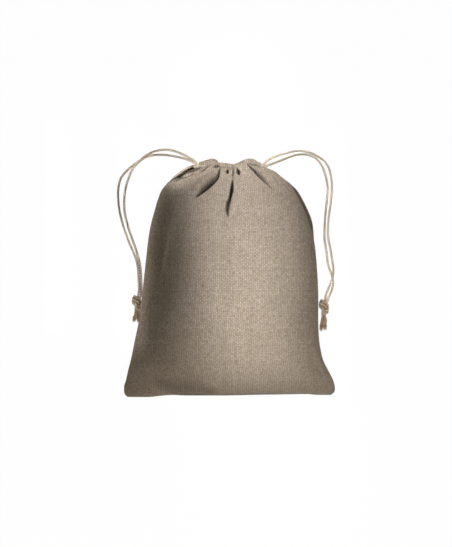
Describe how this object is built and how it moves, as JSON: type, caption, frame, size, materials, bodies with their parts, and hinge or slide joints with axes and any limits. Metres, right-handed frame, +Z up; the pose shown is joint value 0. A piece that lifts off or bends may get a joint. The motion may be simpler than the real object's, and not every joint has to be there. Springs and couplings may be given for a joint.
{
  "type": "drawstring pouch",
  "caption": "Plain linen pouch lying filled on its back, its gathered mouth drawn in by cotton cords that leave at both sides and end in overhand knots.",
  "frame": {"origin": "on the surface that the pouch lies on, under the middle of the pouch without its cords", "axes": "+X to the right across the pouch, +Y from the bottom seam to the mouth, +Z up from the surface, away from the back panel"},
  "size_m": [0.2583, 0.2933, 0.1049],
  "materials": {
    "linen": "undyed plain-weave linen, matt, with slubs",
    "cord": "undyed twisted cotton cord, matt"
  },
  "bodies": {
    "pouch": {"front_panel": "linen", "back_panel": "linen", "front_casing": "linen", "back_casing": "linen", "left_side_seam": "linen", "right_side_seam": "linen", "bottom_seam": "linen", "left_cord_run": "cord", "right_cord_run": "cord"},
    "left_drawstring": {"left_front_strand": "cord", "left_back_strand": "cord", "left_knot": "cord", "left_front_tail": "cord", "left_back_tail": "cord"},
    "right_drawstring": {"right_front_strand": "cord", "right_back_strand": "cord", "right_knot": "cord", "right_front_tail": "cord", "right_back_tail": "cord"}
  },
  "joints": [
    {"name": "left_pull", "type": "slide", "parent": "pouch", "child": "left_drawstring", "axis": [-1, 0, 0], "range_m": [0, 0.02]},
    {"name": "right_pull", "type": "slide", "parent": "pouch", "child": "right_drawstring", "axis": [1, 0, 0], "range_m": [0, 0.02]}
  ]
}
